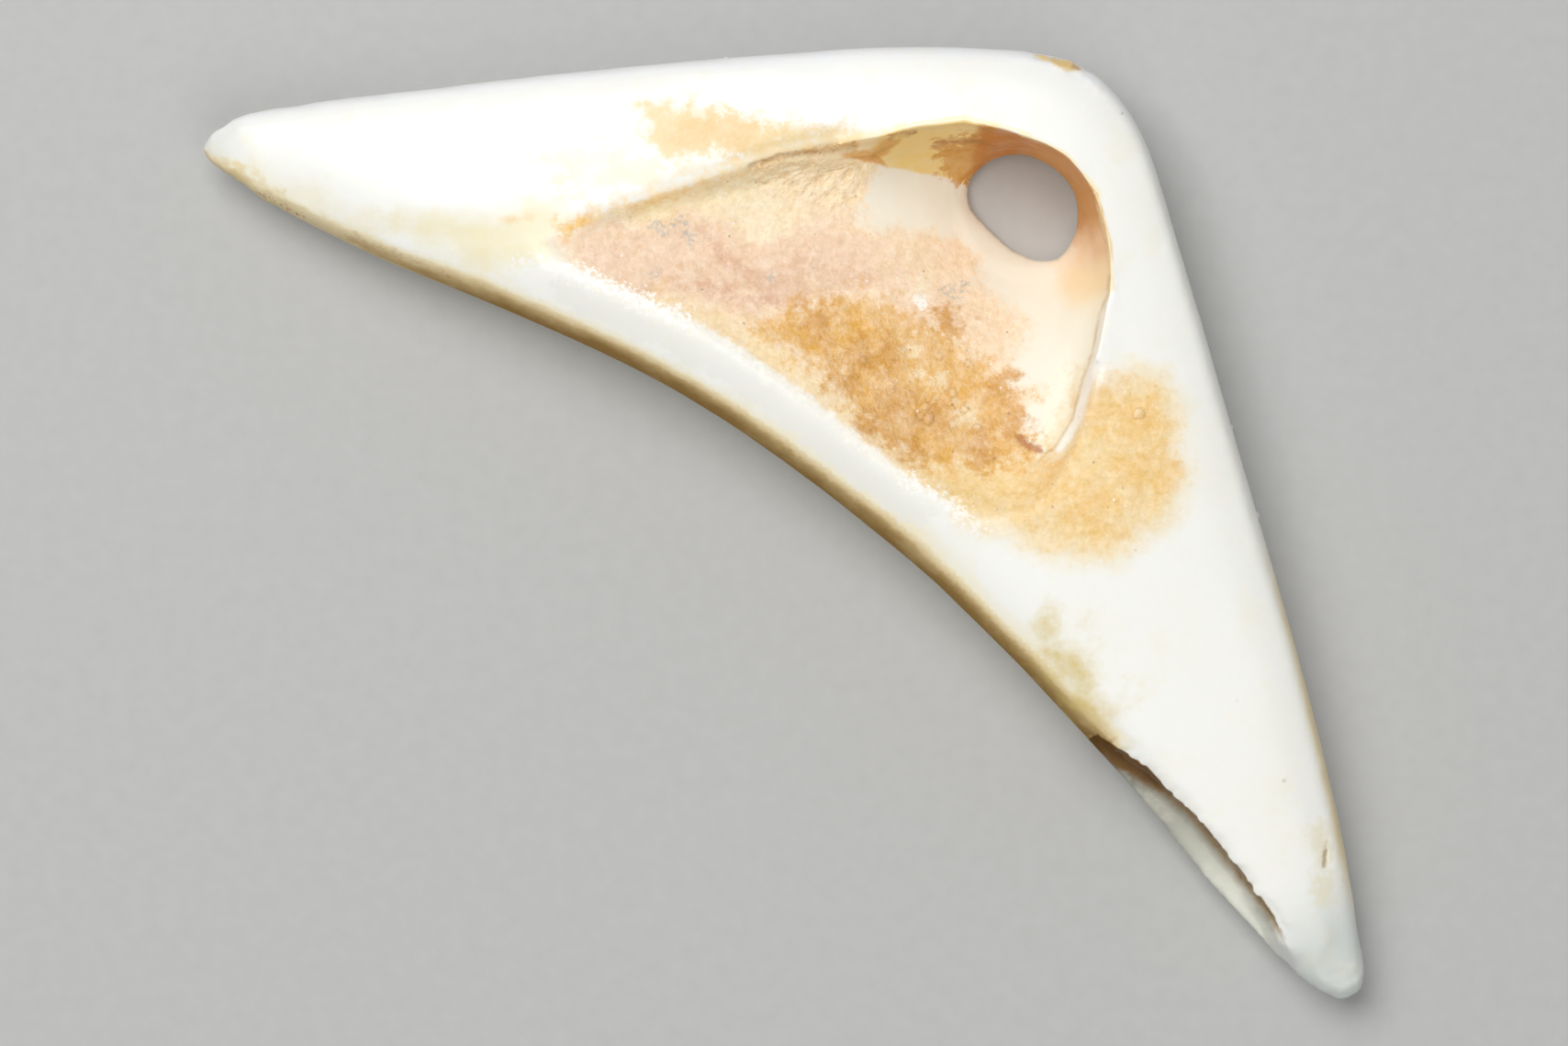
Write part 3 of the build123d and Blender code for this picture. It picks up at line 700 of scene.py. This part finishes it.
# One mark, a stain or a patch of painted light or shade, over whatever lies under it: its depth,
# broken up by grain, becomes a soft mask that is thinner in patches.
mark_group = bpy.data.node_groups.new("mark_over_ground", "ShaderNodeTree")
for name, kind in (("Ground", "Color"), ("Mark", "Color"), ("Depth", "Float"), ("Grain", "Float"),
                   ("Patches", "Float"), ("Edge", "Float"), ("Ragged", "Float"),
                   ("Strength", "Float"), ("Patchy", "Float")):
    mark_group.interface.new_socket(name, in_out="INPUT", socket_type="NodeSocket" + kind)
for name, kind in (("Color", "Color"), ("Mask", "Float")):
    mark_group.interface.new_socket(name, in_out="OUTPUT", socket_type="NodeSocket" + kind)
asked = mark_group.nodes.new("NodeGroupInput").outputs
given = mark_group.nodes.new("NodeGroupOutput").inputs
broken = lay(mark_group, "ShaderNodeMath", {0: asked["Grain"], 1: asked["Ragged"],
                                             2: asked["Depth"]}, operation="MULTIPLY_ADD")
inner_side = lay(mark_group, "ShaderNodeMath", {0: asked["Edge"], 1: -1.0}, operation="MULTIPLY")
lost = lay(mark_group, "ShaderNodeMath", {0: asked["Patches"], 1: asked["Patchy"]},
           operation="MULTIPLY")
kept = lay(mark_group, "ShaderNodeMath", {0: 1.0, 1: lost.outputs[0]}, operation="SUBTRACT")
most = lay(mark_group, "ShaderNodeMath", {0: kept.outputs[0], 1: asked["Strength"]},
           operation="MULTIPLY")
mask = lay(mark_group, "ShaderNodeMapRange", {
    "Value": broken.outputs[0], "From Min": inner_side.outputs[0], "From Max": asked["Edge"],
    "To Min": 0.0, "To Max": most.outputs[0],
}, interpolation_type="SMOOTHSTEP")
mixed = lay(mark_group, "ShaderNodeMix", {0: mask.outputs[0], 6: asked["Ground"],
                                           7: asked["Mark"]}, data_type="RGBA")
mark_group.links.new(mixed.outputs[2], given["Color"])
mark_group.links.new(mask.outputs[0], given["Mask"])

finish = bpy.data.materials.new("worn_white_shell")
finish.use_nodes = True
tree = finish.node_tree
tree.nodes.clear()
spot = lay(tree, "ShaderNodeTexCoord").outputs["Object"]
place = lay(tree, "ShaderNodeVectorMath", {0: spot, "Scale": 1 / MM}, operation="SCALE").outputs[0]


def grain_of(size, detail=4.0, roughness=0.6, shift=0.0):
    """Noise with features of the given size in millimetres."""
    moved = lay(tree, "ShaderNodeVectorMath", {0: place, 1: (shift, 2 * shift, -shift)})
    return lay(tree, "ShaderNodeTexNoise", {
        "Vector": moved.outputs[0], "Scale": 1 / size, "Detail": detail, "Roughness": roughness,
    }).outputs["Fac"]


def reading(name):
    """What was painted on the shell under this name."""
    return lay(tree, "ShaderNodeAttribute", attribute_name=name).outputs["Fac"]


def blend(mask, ground, over):
    """The ground colour with another over it, by a mask."""
    return lay(tree, "ShaderNodeMix", {0: mask, 6: ground, 7: over}, data_type="RGBA").outputs[2]


def between(value, low, high, top=1.0, bottom=0.0):
    """A value stretched from low..high to bottom..top and held there."""
    return lay(tree, "ShaderNodeMapRange", {"Value": value, "From Min": low, "From Max": high,
                                            "To Min": bottom, "To Max": top}).outputs[0]


def sum_of(kind, one, two=0.0):
    """One sum on masks."""
    return lay(tree, "ShaderNodeMath", {0: one, 1: two}, operation=kind).outputs[0]


grains = {"cloudy": between(grain_of(3.2, 5.0, 0.62), 0.3, 0.7, 1.0, -1.0),
          "grainy": between(grain_of(1.1, 4.0, 0.72), 0.3, 0.7, 1.0, -1.0),
          "fine": between(grain_of(0.3, 2.0), 0.3, 0.7, 1.0, -1.0)}
patches = between(grain_of(1.6, 4.0, 0.70, shift=31.0), 0.36, 0.64)
clouds = grain_of(11.0, 2.0)
WHITE, WARM_WHITE = (0.92, 0.92, 0.87, 1), (0.92, 0.89, 0.79, 1)
# Painted shade for the tips and painted light for the flanks that face up.
TIP_SHADE_GREY, TOP_LIGHT_WHITE = (0.63, 0.67, 0.64, 1), (0.97, 0.98, 0.98, 1)
PATINA_AND_SHADE = [  # from and to what wear and painted shade a tint comes in, its strength, and its colour
    (0.02, 0.40, 0.90, (0.91, 0.80, 0.52, 1)),
    (0.30, 0.80, 0.90, (0.65, 0.47, 0.22, 1)),
    (0.70, 1.0, 0.95, (0.32, 0.19, 0.06, 1)),
]
colour = blend(between(clouds, 0.45, 0.75, 0.6), WHITE, WARM_WHITE)
# Painted shade at the tips, where they turn from the light.
colour = blend(between(reading("tip"), 0.0, 1.0, 0.9), colour, TIP_SHADE_GREY)
# Painted light on the flanks that face up.
colour = blend(reading("top_painted_light"), colour, TOP_LIGHT_WHITE)
# Patina and painted shade on the flanks, in tints from pale yellow to dark brown.
worn_and_shaded = sum_of("ADD", reading("patina_and_painted_shade"), sum_of("MULTIPLY", grains["cloudy"], 0.10))
for least, full, strength, tint in PATINA_AND_SHADE:
    colour = blend(between(worn_and_shaded, least, full, strength), colour, tint)
masks = {}
for mark in MARKS:
    layer = lay(tree, "ShaderNodeGroup", {
        "Ground": colour, "Mark": (*mark.colour, 1), "Depth": reading(mark.name),
        "Grain": grains[mark.grain], "Patches": patches, "Edge": mark.edge,
        "Ragged": mark.ragged, "Strength": mark.strength, "Patchy": mark.patchy,
    }, node_tree=mark_group)
    colour, masks[mark.name] = layer.outputs["Color"], layer.outputs["Mask"]
crust = sum_of("MAXIMUM", masks["crust"], masks["wrinkle_tan_and_light"])
crust = sum_of("MAXIMUM", crust, masks["honey"])

# The crust's tint varies from crumb to crumb: high ones are paler, low ones deeper in colour, and
# thin brown lines run round the nodules of the ochre part. Dark specks and pale glints are
# scattered over it.
FURROW_BROWN, SPECK_BROWN = (0.44, 0.24, 0.08, 1), (0.25, 0.18, 0.13, 1)
GLINT_WHITE = (0.96, 0.94, 0.90, 1)
height = between(reading("crumble"), -1.0, 1.0, 1.0, -1.0)
crumbs = between(grain_of(0.55, 3.0, 0.7, shift=17.0), 0.3, 0.7, 1.0, -1.0)
value = sum_of("MULTIPLY", height, 0.04)
value = sum_of("ADD", value, sum_of("MULTIPLY", crumbs, 0.085))
value = sum_of("ADD", value, sum_of("MULTIPLY", grains["fine"], 0.055))
value = sum_of("MULTIPLY", value, between(crust, 0.0, 1.0, 1.0, 0.06))
deeper = sum_of("SUBTRACT", sum_of("MULTIPLY", crumbs, -0.14), sum_of("MULTIPLY", height, 0.10))
deeper = sum_of("MULTIPLY", deeper, crust)
colour = lay(tree, "ShaderNodeHueSaturation", {
    "Color": colour, "Value": sum_of("ADD", value, between(crust, 0.0, 1.0, 1.12, 1.0)),
    "Saturation": sum_of("ADD", deeper, between(crust, 0.0, 1.0, 1.02, 1.0))}).outputs[0]
ring = between(reading("furrow"), 0.2, 1.0, 0.35)
colour = blend(ring, colour, FURROW_BROWN)


def scattered(cells, radius, share):
    """Mask of small rounds, one in a share of the cells of a Voronoi pattern."""
    pattern = lay(tree, "ShaderNodeTexVoronoi", {"Vector": place, "Scale": cells})
    pick = lay(tree, "ShaderNodeSeparateColor", {0: pattern.outputs["Color"]}).outputs[0]
    chosen = between(pick, share, share + 0.02, 0.0, 1.0)
    return sum_of("MULTIPLY", between(pattern.outputs["Distance"], radius, 0.5 * radius), chosen)


speck = sum_of("MULTIPLY", scattered(1.1, 0.13, 0.2), sum_of("MULTIPLY", crust, 0.6))
colour = blend(speck, colour, SPECK_BROWN)
glint = sum_of("MULTIPLY", scattered(1.5, 0.15, 0.2), crust)
colour = blend(glint, colour, GLINT_WHITE)

# In the split, the back layer is greenish grey with paler clouds, darker towards its upper end,
# and the gap above it is brown with painted shadow, darkest at its upper end.
SHELF_DARK, SHELF_PALE = (0.35, 0.345, 0.28, 1), (0.80, 0.79, 0.70, 1)
GAP_SHADE_BROWN, GAP_TAN = (0.26, 0.145, 0.045, 1), (0.80, 0.62, 0.36, 1)
GAP_SHADOW = (0.15, 0.075, 0.022, 1)
under = between(reading("under"), -0.04, 0.06)
shelf_tint = blend(between(reading("down"), 2.0, 7.0), SHELF_DARK, (*GREEN_GREY, 1))
shelf_tint = blend(between(grains["cloudy"], 0.0, 1.5), shelf_tint, SHELF_PALE)
broken = sum_of("MULTIPLY", grains["grainy"], 0.12)
gap = between(sum_of("ADD", reading("gap"), broken), -0.12, 0.30)
# The painted shadow at the gap's upper end.
gap_shadow = between(sum_of("ADD", reading("gap_shadow"), broken), -0.6, 0.4)
gap_tint = blend(between(reading("down"), 1.5, 4.0), GAP_SHADE_BROWN, GAP_TAN)
shelf_tint = blend(gap, shelf_tint, gap_tint)
shelf_tint = blend(gap_shadow, shelf_tint, GAP_SHADOW)
colour = blend(under, colour, shelf_tint)

# The bare shell keeps its polish, and the hollow and the flanks under the patina and painted
# shade are duller.
inside = sum_of("MAXIMUM", crust, masks["hollow"])
inside = sum_of("MAXIMUM", inside, sum_of("MAXIMUM", masks["wall_brown"], under))
roughness = between(inside, 0.0, 1.0, 0.50, 0.34)
roughness = sum_of("SUBTRACT", roughness, sum_of("MULTIPLY", glint, 0.3))
rough_ground = reading("rough_ground")
relief = sum_of("MULTIPLY", grains["fine"], between(rough_ground, 0.0, 1.0, 0.45, 0.01))
relief = sum_of("ADD", relief, sum_of("MULTIPLY", grains["grainy"],
                                      between(rough_ground, 0.0, 1.0, 0.35, 0.02)))
GRIT = 0.12  # height of the finest grain, in the bump alone
bump = lay(tree, "ShaderNodeBump", {"Height": relief, "Strength": 0.6, "Distance": GRIT * MM})
shine = sum_of("MINIMUM", between(worn_and_shaded, 0.1, 0.7, 0.0, 0.5), between(inside, 0.0, 1.0, 0.15, 0.5))
gloss = sum_of("MULTIPLY", between(worn_and_shaded, 0.0, 0.5, 0.0, 0.2), between(inside, 0.0, 1.0, 0.0, 1.0))
body = lay(tree, "ShaderNodeBsdfPrincipled", {
    "Base Color": colour, "Roughness": roughness, "Normal": bump.outputs[0],
    "IOR": 1.53, "Specular IOR Level": shine, "Coat Weight": gloss, "Coat Roughness": 0.18,
    "Subsurface Weight": 0.2, "Subsurface Radius": (1.0, 0.78, 0.52), "Subsurface Scale": 0.5 * MM,
})
lay(tree, "ShaderNodeOutputMaterial", {"Surface": body.outputs[0]})
shell_mesh.materials.clear()
shell_mesh.materials.append(finish)
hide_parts("shell_pendant")
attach(shell, "root")

# The studio floor, a plain pale sheet a little darker than the shell, so that the shell stands
# out against it.
FLOOR_REACH = 1500  # from its middle to its sides
FLOOR_CLEARANCE = 0.02  # below the shell's resting flat
PAPER_GREY, PAPER_PALE = (0.47, 0.47, 0.46, 1), (0.52, 0.52, 0.51, 1)
floor_mesh = bpy.data.meshes.new("floor")
sheet = bmesh.new()
bmesh.ops.create_grid(sheet, x_segments=2, y_segments=2, size=FLOOR_REACH * MM)
bmesh.ops.translate(sheet, verts=sheet.verts, vec=(0, 0, -FLOOR_CLEARANCE * MM))
sheet.to_mesh(floor_mesh)
sheet.free()
floor = bpy.data.objects.new("floor", floor_mesh)
bpy.context.scene.collection.objects.link(floor)
paper = bpy.data.materials.new("pale_sheet")
paper.use_nodes = True
paper_body = paper.node_tree.nodes["Principled BSDF"]
paper_noise = lay(paper.node_tree, "ShaderNodeTexNoise", {"Scale": 900.0, "Detail": 3.0})
paper_spot = lay(paper.node_tree, "ShaderNodeTexCoord").outputs["Object"]
paper.node_tree.links.new(paper_spot, paper_noise.inputs["Vector"])
paper_mix = lay(paper.node_tree, "ShaderNodeMix", {
    0: paper_noise.outputs["Fac"], 6: PAPER_GREY, 7: PAPER_PALE,
}, data_type="RGBA")
paper.node_tree.links.new(paper_mix.outputs[2], paper_body.inputs["Base Color"])
paper_body.inputs["Roughness"].default_value = 0.85
floor_mesh.materials.append(paper)

# Soft light from a large panel above the upper left, a weaker one from the lower side, and a
# pale room. The camera looks straight down from half a metre.
LIGHTS = [  # name, place and width in metres, and power in watts
    ("key", (-0.14, 0.20, 0.46), 0.36, 2.12),
    ("fill", (0.16, -0.30, 0.46), 0.50, 0.96),
]
ROOM_LIGHT = 0.24
world = bpy.data.worlds.new("pale_room")
bpy.context.scene.world = world
world.use_nodes = True
world.node_tree.nodes["Background"].inputs["Color"].default_value = (1, 1, 1, 1)
world.node_tree.nodes["Background"].inputs["Strength"].default_value = ROOM_LIGHT
for name, where, across, power in LIGHTS:
    panel = bpy.data.lights.new(name, "AREA")
    panel.size = across
    panel.energy = power
    lamp = bpy.data.objects.new(name, panel)
    lamp.location = where
    lamp.rotation_mode = "QUATERNION"
    lamp.rotation_quaternion = (-Vector(where)).to_track_quat("-Z", "Y")
    bpy.context.scene.collection.objects.link(lamp)

PICTURE_WIDTH = 102.48  # what the photograph's full width covers at the shell's middle height
MIDDLE_HEIGHT = 5
ABOVE = 0.5  # metres from there to the camera
lens_view = bpy.data.cameras.new("camera")
lens_view.sensor_width = 36
lens_view.lens = lens_view.sensor_width * ABOVE / (PICTURE_WIDTH * MM)
lens_view.clip_start, lens_view.clip_end = 0.01, 10
camera = bpy.data.objects.new("camera", lens_view)
camera.location = (0, 0, ABOVE + MIDDLE_HEIGHT * MM)
bpy.context.scene.collection.objects.link(camera)
bpy.context.scene.camera = camera
bpy.context.scene.view_settings.view_transform = "Standard"
